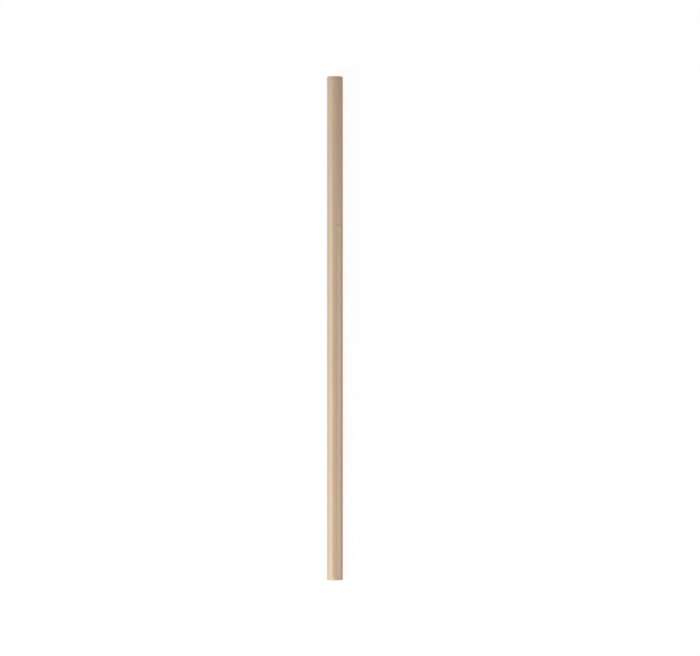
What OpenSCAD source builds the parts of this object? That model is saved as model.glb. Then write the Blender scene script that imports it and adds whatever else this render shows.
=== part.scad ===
// Straight drinking straw, one thin-walled tube lying on its side.
// The straw runs along Y and touches the table, the plane Z = 0, in one line under its axis.

/* [Tube] */
// Length from one cut end to the other
straw_length = 197; // [120:1:300]
// Outside diameter
outside_d = 6.3; // [4.5:0.1:12]
// Thickness of the wall
wall_t = 0.4; // [0.35:0.05:0.8]

/* [Cut ends] */
// Rounding of the outer edge, worn soft by the cutter
outer_edge_r = 0.2; // [0.05:0.01:0.2]
// Rounding of the inner edge
inner_edge_r = 0.1; // [0.02:0.01:0.1]

/* [Hidden] */
$fn = 96;
wall_colour = [0.74, 0.63, 0.53];
outside_r = outside_d / 2;
bore_r = outside_r - wall_t;

// What an edge loses when it is rounded: the corner square outside its inscribed circle.
// The corner is at the origin and the material lies towards +X and +Y.
module edge_waste(r) {
    difference() {
        square(r);
        translate([r, r]) circle(r);
    }
}

// The two rounded edges of one cut end, for a wall that starts at Y = 0.
module end_waste() {
    translate([bore_r, 0]) edge_waste(inner_edge_r);
    translate([outside_r, 0]) mirror([1, 0]) edge_waste(outer_edge_r);
}

// Half section of the wall: X is the distance from the axis, Y the place along the straw.
module wall_section() {
    difference() {
        translate([bore_r, 0]) square([wall_t, straw_length]);
        end_waste();
        translate([0, straw_length]) mirror([0, 1]) end_waste();
    }
}

// The straw: the section turned round the axis, laid along Y and centred on it.
module straw_tube() {
    color(wall_colour)
        translate([0, straw_length / 2, outside_r])
            rotate([90, 0, 0])
                rotate_extrude() wall_section();
}

straw_tube();
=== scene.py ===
import math

import bmesh
import bpy
from mathutils import Matrix, Vector


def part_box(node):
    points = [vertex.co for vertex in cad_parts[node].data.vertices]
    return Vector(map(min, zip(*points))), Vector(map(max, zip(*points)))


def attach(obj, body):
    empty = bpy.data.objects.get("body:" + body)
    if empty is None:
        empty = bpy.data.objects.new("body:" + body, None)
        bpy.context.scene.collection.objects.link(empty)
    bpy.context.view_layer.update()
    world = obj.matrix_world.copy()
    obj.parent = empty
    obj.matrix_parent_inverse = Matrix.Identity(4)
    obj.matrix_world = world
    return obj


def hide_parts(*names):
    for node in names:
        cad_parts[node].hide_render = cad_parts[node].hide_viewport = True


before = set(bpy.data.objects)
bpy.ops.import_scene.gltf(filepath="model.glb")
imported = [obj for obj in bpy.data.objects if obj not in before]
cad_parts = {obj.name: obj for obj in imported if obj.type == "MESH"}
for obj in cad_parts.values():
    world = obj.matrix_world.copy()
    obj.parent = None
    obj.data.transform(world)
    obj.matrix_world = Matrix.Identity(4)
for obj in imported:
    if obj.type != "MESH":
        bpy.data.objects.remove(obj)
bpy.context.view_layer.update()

print("frame loaded")

scene = bpy.context.scene
strawLow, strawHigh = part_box("straw_tube")
strawLength = strawHigh.y - strawLow.y
outsideRadius = (strawHigh.x - strawLow.x) / 2
axisHeight = (strawHigh.z + strawLow.z) / 2


# Picking parts of the mesh by their place, as one would with the mouse

def deselectAll():
    bpy.ops.object.select_all(action="DESELECT")


def selectOnly(piece):
    deselectAll()
    piece.select_set(True)
    bpy.context.view_layer.objects.active = piece


def startEditing(piece):
    selectOnly(piece)
    bpy.ops.object.mode_set(mode="EDIT")


def stopEditing():
    bpy.ops.object.mode_set(mode="OBJECT")


def pickParts(piece, kind, wanted):
    bpy.ops.mesh.select_mode(type=kind)
    bpy.ops.mesh.select_all(action="DESELECT")
    mesh = bmesh.from_edit_mesh(piece.data)
    for part in (mesh.edges if kind == "EDGE" else mesh.verts):
        if wanted(part):
            part.select_set(True)
    mesh.select_flush_mode()
    bmesh.update_edit_mesh(piece.data)


def pickEdges(piece, wanted):
    pickParts(piece, "EDGE", lambda edge: wanted(edge.verts[0].co, edge.verts[1].co))


def pickPoints(piece, wanted):
    pickParts(piece, "VERT", lambda point: wanted(point.co))


def applyModifier(piece, modifier):
    selectOnly(piece)
    bpy.ops.object.modifier_apply(modifier=modifier.name)


def fromAxis(place):
    return math.hypot(place.x, place.z - axisHeight)


# The straw: a ring drawn out along Y, given its wall, then softened at both cuts

strawSettings = {
    "sidesAround": 96,
    "ringSpacing": 0.0015,
    "wall": 0.0004,
    "outerEdge": 0.0002,
    "outerEdgeSteps": 4,
    "innerEdge": 0.0001,
    "innerEdgeSteps": 3,
    "cutShortBy": 0.00003,       # room for the rough cut inside the straw's full length
    "cutRoughness": 0.00002,
    "cutSeed": 7,
    "onCutWithin": 0.000001,
    "flattening": 0.998,         # height to width, to stay inside the solid's faceted top and bottom
    "drawLineWidth": 0.0006,
    "drawLineLength": 0.03,
    "drawLineDepth": 0.00002,
    "drawLineDetail": 2,
    "nickAcross": 0.00128,       # from the middle of the straw
    "nickAlong": 0.04049,
    "nickHalfLength": 0.00105,   # round the wall
    "nickHalfWidth": 0.00023,
    "nickDepth": 0.000015,
    "nickRings": 6,              # extra rings on each side of the nick
    "nickRingSpacing": 0.00007,
    "smoothBelow": 50,           # degrees
}


def drawOutTube(name, sizes):
    half = strawLength / 2 - sizes["cutShortBy"]
    deselectAll()
    bpy.ops.mesh.primitive_circle_add(
        vertices=sizes["sidesAround"], radius=outsideRadius, fill_type="NOTHING",
        location=(0, -half, axisHeight), rotation=(math.pi / 2, 0, 0))
    tube = bpy.context.object
    tube.name = name
    tube.data.name = name
    bpy.ops.object.transform_apply(location=True, rotation=True, scale=True)
    startEditing(tube)
    bpy.ops.mesh.select_all(action="SELECT")
    bpy.ops.mesh.extrude_region_move(TRANSFORM_OT_translate={"value": (0, 2 * half, 0)})
    pickEdges(tube, lambda a, b: abs(a.y - b.y) > half)
    bpy.ops.mesh.subdivide(number_cuts=round(2 * half / sizes["ringSpacing"]) - 1)
    bpy.ops.mesh.select_all(action="SELECT")
    bpy.ops.transform.resize(value=(1, 1, sizes["flattening"]), center_override=(0, 0, axisHeight))
    stopEditing()
    return tube


def cutRings(tube, places):
    startEditing(tube)
    for y in places:
        bpy.ops.mesh.select_all(action="SELECT")
        bpy.ops.mesh.bisect(plane_co=(0, y, 0), plane_no=(0, 1, 0))
    bpy.ops.mesh.select_all(action="SELECT")
    bpy.ops.mesh.normals_make_consistent(inside=False)
    stopEditing()


def pressDrawLines(tube, sizes):
    guide = bpy.data.objects.new("drawLineGuide", None)
    guide.scale = (sizes["drawLineWidth"], sizes["drawLineLength"], sizes["drawLineWidth"])
    scene.collection.objects.link(guide)
    bpy.context.view_layer.update()
    lines = bpy.data.textures.new("drawLines", "CLOUDS")
    lines.noise_scale = 1.0
    lines.noise_depth = sizes["drawLineDetail"]
    press = tube.modifiers.new("drawLines", "DISPLACE")
    press.texture = lines
    press.texture_coords = "OBJECT"
    press.texture_coords_object = guide
    press.mid_level = 0
    press.strength = -sizes["drawLineDepth"]
    applyModifier(tube, press)
    bpy.data.objects.remove(guide)
    bpy.data.textures.remove(lines)


def pressNick(tube, sizes):
    turn = math.asin(sizes["nickAcross"] / outsideRadius)
    inwards = Vector((-math.sin(turn), 0, -math.cos(turn)))

    def inNick(place):
        if place.z < axisHeight:
            return False
        around = math.atan2(place.x, place.z - axisHeight) - turn
        longWay = around * outsideRadius / sizes["nickHalfLength"]
        shortWay = (place.y - sizes["nickAlong"]) / sizes["nickHalfWidth"]
        return longWay ** 2 + shortWay ** 2 < 1

    startEditing(tube)
    pickPoints(tube, inNick)
    bpy.ops.transform.translate(value=inwards * sizes["nickDepth"])
    stopEditing()


def giveWall(tube, sizes):
    wall = tube.modifiers.new("wall", "SOLIDIFY")
    wall.thickness = sizes["wall"]
    wall.offset = -1
    wall.use_even_offset = True
    wall.use_rim = True
    applyModifier(tube, wall)


def softenCuts(tube, sizes):
    cut = strawLength / 2 - sizes["cutShortBy"]
    middle = outsideRadius - sizes["wall"] / 2

    def onCut(place):
        return abs(abs(place.y) - cut) < sizes["onCutWithin"]

    def outerRim(a, b):
        return onCut(a) and onCut(b) and fromAxis(a) > middle and fromAxis(b) > middle

    def innerRim(a, b):
        return onCut(a) and onCut(b) and fromAxis(a) < middle and fromAxis(b) < middle

    startEditing(tube)
    pickEdges(tube, outerRim)
    bpy.ops.mesh.bevel(offset=sizes["outerEdge"], segments=sizes["outerEdgeSteps"], profile=0.5)
    pickEdges(tube, innerRim)
    bpy.ops.mesh.bevel(offset=sizes["innerEdge"], segments=sizes["innerEdgeSteps"], profile=0.5)
    pickPoints(tube, lambda place: abs(place.y) > cut - sizes["cutRoughness"])
    bpy.ops.transform.vertex_random(
        offset=sizes["cutRoughness"], uniform=1, normal=0, seed=sizes["cutSeed"])
    stopEditing()


def makeStraw():
    sizes = strawSettings
    straw = drawOutTube("fibreStraw", sizes)
    steps = range(-sizes["nickRings"], sizes["nickRings"] + 1)
    cutRings(straw, [sizes["nickAlong"] + step * sizes["nickRingSpacing"] for step in steps])
    pressDrawLines(straw, sizes)
    pressNick(straw, sizes)
    giveWall(straw, sizes)
    softenCuts(straw, sizes)
    selectOnly(straw)
    bpy.ops.object.shade_smooth_by_angle(angle=math.radians(sizes["smoothBelow"]))
    print("straw made:", len(straw.data.polygons), "faces")
    return straw


# The finish: unbleached fibre with lengthwise grain, soft patches, flecks and dusty cuts, with
# painted shade inside the bore.
# A grain is how many cells of noise there are in a metre, across, along and up.
# A where is the pair of noise values between which that thing fades in.

finishSettings = {
    "tan": (0.488, 0.345, 0.232),
    "rosy": (0.507, 0.340, 0.244),
    "straw": (0.483, 0.359, 0.220),
    "cutDust": (0.470, 0.385, 0.300),
    "rosyGrain": (170, 80, 170),
    "rosyWhere": (0.42, 0.66),
    "strawGrain": (120, 45, 150),
    "strawWhere": (0.45, 0.68),
    "streakGrain": (1500, 40, 1500),
    "streakDetail": 3.0,
    "streakDepth": 0.035,
    "fineGrain": (6500, 260, 6500),
    "fineDepth": 0.03,
    "fleckGrain": (5200, 1300, 5200),
    "fleckDetail": 1.0,
    "darkFleck": 0.86,
    "darkFleckWhere": (0.66, 0.74),
    "paleFleck": 1.09,
    "paleFleckWhere": (0.34, 0.26),
    "dustGrain": (900, 900, 900),
    "dustReach": 0.0009,         # in from each cut
    "dustFade": 0.0004,
    "dustRagged": 0.00025,
    "dustShare": 0.5,
    "blotGrain": (2300, 1500, 2300),
    "blotWhere": (0.50, 0.62),
    "blotShade": 0.88,           # dark blots in the dusty band
    "nickShade": 0.80,
    "nickSpread": 1.3,           # how much wider the dark is than the pressed line
    "nickRagged": 0.15,
    "palePatch": 1.08,           # rubbed place beside the nick
    "palePatchAside": 0.00038,   # from the nick, to the right
    "palePatchBelow": 0.00152,   # and along the straw
    "palePatchReach": (0.0006, 0.0009),
    "palePatchRagged": 0.3,
    "markReach": 0.004,          # how deep both marks go
    # painted shade: the colour on the inside of the wall, in the bore, is darkened to this share
    "paintedBoreShade": 0.80,
    "boreWhere": (0.8, 0.9),     # in shares of the wall
    "roughness": 0.24,
    "roughnessSpread": 0.05,
    "dustRoughness": 0.2,        # added at the cuts
    "boreRoughness": 0.7,
    "refraction": 1.5,
    "bumpStrength": 0.35,
    "bumpHeight": 0.00003,
    "fineInBump": 0.6,           # the rest of the bump is flecks
}
noiseLow = 0.25                  # most noise lies between these two
noiseHigh = 0.75
markCore = 0.6                   # a mark is whole inside this share of its reach
markRim = 1.15
nodeSpacing = 180                # in the node editor


class NodeBoard:
    def __init__(self, owner):
        owner.use_nodes = True
        self.tree = owner.node_tree
        self.tree.nodes.clear()
        self.column = 0

    def add(self, kind, settings=None, **inputs):
        node = self.tree.nodes.new(kind)
        node.location = (self.column * nodeSpacing, 0)
        self.column += 1
        for name, value in (settings or {}).items():
            setattr(node, name, value)
        for name, value in inputs.items():
            self.put(node, name, value)
        return node

    # An input goes by its name, or by n and its number where several share a name
    def put(self, node, name, value):
        numbered = name[0] == "n" and name[1:].isdigit()
        socket = node.inputs[int(name[1:])] if numbered else node.inputs[name]
        if isinstance(value, bpy.types.NodeSocket):
            self.tree.links.new(value, socket)
        else:
            socket.default_value = value


def mathStep(board, operation, first, second=0.0):
    return board.add("ShaderNodeMath", {"operation": operation}, n0=first, n1=second).outputs[0]


def multiplyAll(board, values):
    product = values[0]
    for value in values[1:]:
        product = mathStep(board, "MULTIPLY", product, value)
    return product


def rescale(board, value, low, high, newLow, newHigh):
    node = board.add("ShaderNodeMapRange", {"clamp": True}, Value=value)
    node.inputs["From Min"].default_value = low
    node.inputs["From Max"].default_value = high
    node.inputs["To Min"].default_value = newLow
    node.inputs["To Max"].default_value = newHigh
    return node.outputs["Result"]


# 0 where the noise is below its pair of values, 1 above it
def fadeIn(board, noise, where):
    return rescale(board, noise, *where, 0, 1)


# This shade where the mask is 1, and a shade of 1 where it is 0
def shadeWhere(board, mask, shade):
    return rescale(board, mask, 0, 1, 1.0, shade)


# Noise turned into a shade of 1 give or take depth, or into a value of 0 give or take it
def aroundOne(board, noise, depth):
    return rescale(board, noise, noiseLow, noiseHigh, 1 - depth, 1 + depth)


def aroundNought(board, noise, depth):
    return rescale(board, noise, noiseLow, noiseHigh, -depth, depth)


def lengthOf(board, vector):
    return board.add("ShaderNodeVectorMath", {"operation": "LENGTH"}, n0=vector).outputs["Value"]


def grainNoise(board, place, grain, detail=2.0):
    mapped = board.add("ShaderNodeMapping", None, Vector=place)
    mapped.inputs["Scale"].default_value = grain
    noise = board.add("ShaderNodeTexNoise", None, Vector=mapped.outputs[0])
    noise.inputs["Scale"].default_value = 1.0
    noise.inputs["Detail"].default_value = detail
    return noise.outputs[0]


# 1 inside a soft-edged egg of this reach, 0 outside it
def markMask(board, place, centre, reach, ragged):
    mapped = board.add("ShaderNodeMapping", None, Vector=place)
    mapped.inputs["Location"].default_value = [-c / r for c, r in zip(centre, reach)]
    mapped.inputs["Scale"].default_value = [1 / r for r in reach]
    distance = mathStep(board, "ADD", lengthOf(board, mapped.outputs[0]), ragged)
    return rescale(board, distance, markCore, markRim, 1, 0)


def mixColours(board, factor, first, second, blend="MIX"):
    node = board.add("ShaderNodeMix", {"data_type": "RGBA", "blend_type": blend})
    board.put(node, "n0", factor)
    board.put(node, "n6", first)
    board.put(node, "n7", second)
    return node.outputs[2]


def opaque(colour):
    return (*colour, 1.0)


def patchyColour(board, place):
    look = finishSettings
    rosiness = fadeIn(board, grainNoise(board, place, look["rosyGrain"]), look["rosyWhere"])
    strawness = fadeIn(board, grainNoise(board, place, look["strawGrain"]), look["strawWhere"])
    colour = mixColours(board, rosiness, opaque(look["tan"]), opaque(look["rosy"]))
    return mixColours(board, strawness, colour, opaque(look["straw"]))


# 1 in the ragged band at each cut
def cutBand(board, place, along):
    look = finishSettings
    ragged = aroundNought(board, grainNoise(board, place, look["dustGrain"]), look["dustRagged"])
    toEnd = mathStep(board, "ADD", mathStep(board, "ABSOLUTE", along), ragged)
    bandStart = strawLength / 2 - look["dustReach"]
    return fadeIn(board, toEnd, (bandStart, bandStart + look["dustFade"]))


def blotShade(board, place, inBand):
    look = finishSettings
    blots = fadeIn(board, grainNoise(board, place, look["blotGrain"]), look["blotWhere"])
    return shadeWhere(board, mathStep(board, "MULTIPLY", inBand, blots), look["blotShade"])


# The shades of the nick and of the rubbed place beside it, each with its edge broken by a noise
def nickShades(board, place, fine, flecks):
    look = finishSettings
    sizes = strawSettings
    top = axisHeight + math.sqrt(outsideRadius ** 2 - sizes["nickAcross"] ** 2)
    nickPlace = (sizes["nickAcross"], sizes["nickAlong"], top)
    nickHalfWidth = sizes["nickHalfWidth"] * look["nickSpread"]
    nickReach = (sizes["nickHalfLength"], nickHalfWidth, look["markReach"])
    nickEdge = aroundNought(board, fine, look["nickRagged"])
    nick = markMask(board, place, nickPlace, nickReach, nickEdge)
    patchPlace = (sizes["nickAcross"] + look["palePatchAside"],
                  sizes["nickAlong"] - look["palePatchBelow"], top)
    patchReach = (*look["palePatchReach"], look["markReach"])
    patchEdge = aroundNought(board, flecks, look["palePatchRagged"])
    patch = markMask(board, place, patchPlace, patchReach, patchEdge)
    return [shadeWhere(board, nick, look["nickShade"]), shadeWhere(board, patch, look["palePatch"])]


# 1 on the inside of the wall, 0 on its outside
def boreMask(board, across, up):
    upFromAxis = mathStep(board, "SUBTRACT", up, axisHeight)
    radial = board.add("ShaderNodeCombineXYZ", None, X=across, Y=0.0, Z=upFromAxis)
    wallDepth = mathStep(board, "SUBTRACT", outsideRadius, lengthOf(board, radial.outputs[0]))
    where = [share * strawSettings["wall"] for share in finishSettings["boreWhere"]]
    return fadeIn(board, wallDepth, where)


def makeFinish():
    look = finishSettings
    finish = bpy.data.materials.new("unbleachedFibre")
    board = NodeBoard(finish)
    place = board.add("ShaderNodeTexCoord").outputs["Object"]
    across, along, up = board.add("ShaderNodeSeparateXYZ", None, Vector=place).outputs

    # streaks and fibres along the straw, light and dark
    streaks = grainNoise(board, place, look["streakGrain"], look["streakDetail"])
    fine = grainNoise(board, place, look["fineGrain"])
    flecks = grainNoise(board, place, look["fleckGrain"], look["fleckDetail"])
    inBand = cutBand(board, place, along)
    inBore = boreMask(board, across, up)
    shade = multiplyAll(board, [
        aroundOne(board, streaks, look["streakDepth"]),
        aroundOne(board, fine, look["fineDepth"]),
        rescale(board, flecks, *look["darkFleckWhere"], 1.0, look["darkFleck"]),
        rescale(board, flecks, *look["paleFleckWhere"], 1.0, look["paleFleck"]),
        blotShade(board, place, inBand),
        *nickShades(board, place, fine, flecks),
        # painted shade: darker colour on the inside of the wall, in the bore
        shadeWhere(board, inBore, look["paintedBoreShade"]),
    ])
    dusty = mathStep(board, "MULTIPLY", inBand, look["dustShare"])
    colour = mixColours(board, dusty, patchyColour(board, place), opaque(look["cutDust"]))
    shades = board.add("ShaderNodeCombineColor", None, Red=shade, Green=shade, Blue=shade)
    colour = mixColours(board, 1.0, colour, shades.outputs[0], "MULTIPLY")

    # duller in the bore and at the cuts
    spread = aroundNought(board, streaks, look["roughnessSpread"])
    rough = mathStep(board, "ADD", spread, look["roughness"])
    boreExtra = rescale(board, inBore, 0, 1, 0, look["boreRoughness"] - look["roughness"])
    dustExtra = rescale(board, inBand, 0, 1, 0, look["dustRoughness"])
    rough = mathStep(board, "ADD", mathStep(board, "ADD", rough, boreExtra), dustExtra)

    fineHeight = mathStep(board, "MULTIPLY", fine, look["fineInBump"])
    fleckHeight = mathStep(board, "MULTIPLY", flecks, 1 - look["fineInBump"])
    bump = board.add("ShaderNodeBump", None, Height=mathStep(board, "ADD", fineHeight, fleckHeight),
                     Strength=look["bumpStrength"], Distance=look["bumpHeight"])

    shader = board.add("ShaderNodeBsdfPrincipled", None,
                       Roughness=rough, Normal=bump.outputs[0], IOR=look["refraction"])
    board.put(shader, "Base Color", colour)
    board.add("ShaderNodeOutputMaterial", None, Surface=shader.outputs[0])
    return finish


straw = makeStraw()
straw.data.materials.append(makeFinish())
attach(straw, "root")
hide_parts("straw_tube")
print("finish made")


# The place it lies: a white table in soft light

stageSettings = {
    "tableSize": 6.0,
    "white": (1.0, 1.0, 1.0, 1.0),
    "tableColour": (0.50, 0.50, 0.50),
    "tableWhiteShare": 0.88,     # of what a viewer sees; the rest shows the shadow
    "tableWhite": 1.075,         # with the rest, white
    "surround": 0.184,
}


def isSeen(board):
    path = board.add("ShaderNodeLightPath")
    seen = mathStep(board, "MAXIMUM", path.outputs["Is Camera Ray"], path.outputs["Is Glossy Ray"])
    return mathStep(board, "MAXIMUM", seen, path.outputs["Is Transmission Ray"])


def makeTable():
    stage = stageSettings
    deselectAll()
    bpy.ops.mesh.primitive_plane_add(size=stage["tableSize"], location=(0, 0, 0))
    table = bpy.context.object
    table.name = "whiteTable"
    paint = bpy.data.materials.new("tablePaint")
    board = NodeBoard(paint)
    white = board.add("ShaderNodeEmission", None, Color=stage["white"], Strength=stage["tableWhite"])
    matt = board.add("ShaderNodeBsdfDiffuse", None, Color=opaque(stage["tableColour"]))
    share = mathStep(board, "MULTIPLY", isSeen(board), stage["tableWhiteShare"])
    mixed = board.add("ShaderNodeMixShader", None,
                      n0=share, n1=matt.outputs[0], n2=white.outputs[0])
    board.add("ShaderNodeOutputMaterial", None, Surface=mixed.outputs[0])
    table.data.materials.append(paint)


def makeSurround():
    stage = stageSettings
    world = bpy.data.worlds.new("paleRoom")
    scene.world = world
    board = NodeBoard(world)
    soft = board.add("ShaderNodeBackground", None, Color=stage["white"], Strength=stage["surround"])
    white = board.add("ShaderNodeBackground", None, Color=stage["white"], Strength=1.0)
    mixed = board.add("ShaderNodeMixShader", None,
                      n0=isSeen(board), n1=soft.outputs[0], n2=white.outputs[0])
    board.add("ShaderNodeOutputWorld", None, Surface=mixed.outputs[0])


# Each softbox faces the line of the straw. Its elevation goes from the right-hand side up and over,
# and its spread is how wide it looks, both in degrees round the straw. A brightness of 1 is white.
# The left one is faintly cool and the right one faintly rosy.

lampDistance = 0.7
lampSettings = {
    "leftSoftbox": {
        "elevation": 152.9, "spread": 49.9, "along": -0.312, "length": 0.896,
        "brightness": 3.16, "tint": (0.955, 1.005, 0.995)},
    "rightSoftbox": {
        "elevation": 27.4, "spread": 54.7, "along": -0.084, "length": 0.344,
        "brightness": 3.00, "tint": (1.055, 0.990, 1.005)},
    "frontCeiling": {
        "elevation": 126.7, "spread": 60.5, "along": -0.722, "length": 0.849,
        "brightness": 3.50, "tint": (1.0, 1.0, 1.0)},
}


def makeLamp(name):
    lamp = lampSettings[name]
    turn = math.radians(lamp["elevation"])
    width = 2 * lampDistance * math.tan(math.radians(lamp["spread"] / 2))
    data = bpy.data.lights.new(name, "AREA")
    data.shape = "RECTANGLE"
    data.color = lamp["tint"]
    data.size = width
    data.size_y = lamp["length"]
    data.energy = lamp["brightness"] * math.pi * width * lamp["length"]
    softbox = bpy.data.objects.new(name, data)
    scene.collection.objects.link(softbox)
    back = Vector((math.cos(turn), 0, math.sin(turn)))
    softbox.location = Vector((0, lamp["along"], axisHeight)) + back * lampDistance
    ahead = Vector((0, 1, 0))
    softbox.rotation_euler = Matrix((ahead.cross(back), ahead, back)).transposed().to_euler()
    softbox.visible_camera = False


cameraSettings = {
    "distance": 0.9,             # above the straw's axis
    "aside": 0.00589,            # the straw stands this far left of the middle of the view
    "ahead": 0.00009,
    "viewWidth": 0.27433,        # at the straw
    "sensor": 36.0,
    "near": 0.01,
    "far": 20.0,
}


def makeCamera():
    view = cameraSettings
    data = bpy.data.cameras.new("topCamera")
    data.sensor_fit = "HORIZONTAL"
    data.sensor_width = view["sensor"]
    data.lens = view["sensor"] * view["distance"] / view["viewWidth"]
    data.clip_start = view["near"]
    data.clip_end = view["far"]
    camera = bpy.data.objects.new("topCamera", data)
    scene.collection.objects.link(camera)
    camera.location = (view["aside"], view["ahead"], axisHeight + view["distance"])
    scene.camera = camera


makeTable()
makeSurround()
for lampName in lampSettings:
    makeLamp(lampName)
makeCamera()
scene.view_settings.view_transform = "Standard"
print("table, lamps and camera set")
